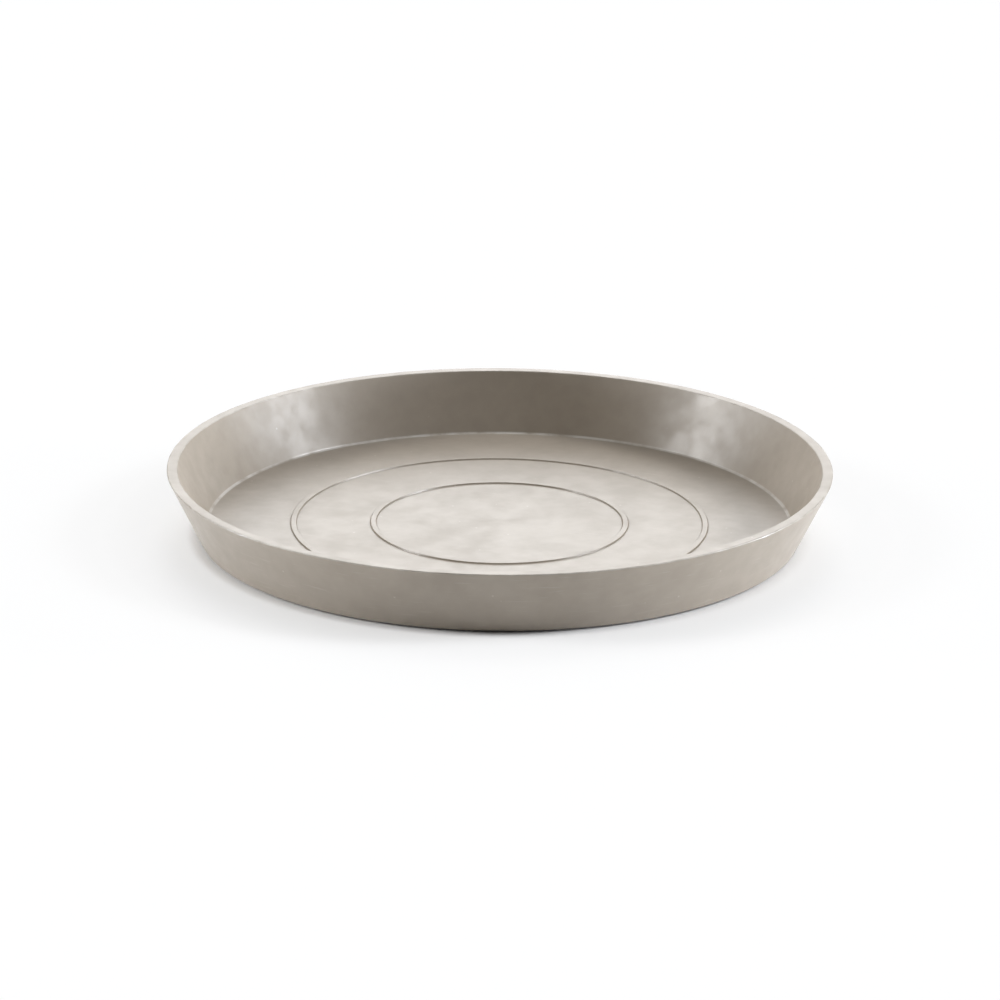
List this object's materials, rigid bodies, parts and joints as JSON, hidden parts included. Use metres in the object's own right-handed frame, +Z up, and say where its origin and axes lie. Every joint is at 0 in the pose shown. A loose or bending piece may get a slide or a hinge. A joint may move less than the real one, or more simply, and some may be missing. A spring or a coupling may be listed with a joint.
{
  "type": "plant saucer",
  "caption": "Round shallow plant saucer with a flared wall, a flat rim and raised pot ridges on its floor, standing on stick-on foot pads; catches water under a flower pot.",
  "frame": {"origin": "the centre of the dish, on the surface that the pads stand on", "axes": "+Z up along the dish's axis, +X to the right and +Y away from the viewer in the picture"},
  "size_m": [0.3, 0.3, 0.0316],
  "materials": {
    "saucer_plastic": "satin warm grey moulding with faint flow marks and scuffs",
    "pad_rubber": "matte"
  },
  "bodies": {
    "root": {"saucer": "saucer_plastic", "foot_pad_1": "pad_rubber", "foot_pad_2": "pad_rubber", "foot_pad_3": "pad_rubber", "foot_pad_4": "pad_rubber", "foot_pad_5": "pad_rubber", "foot_pad_6": "pad_rubber"}
  },
  "joints": []
}
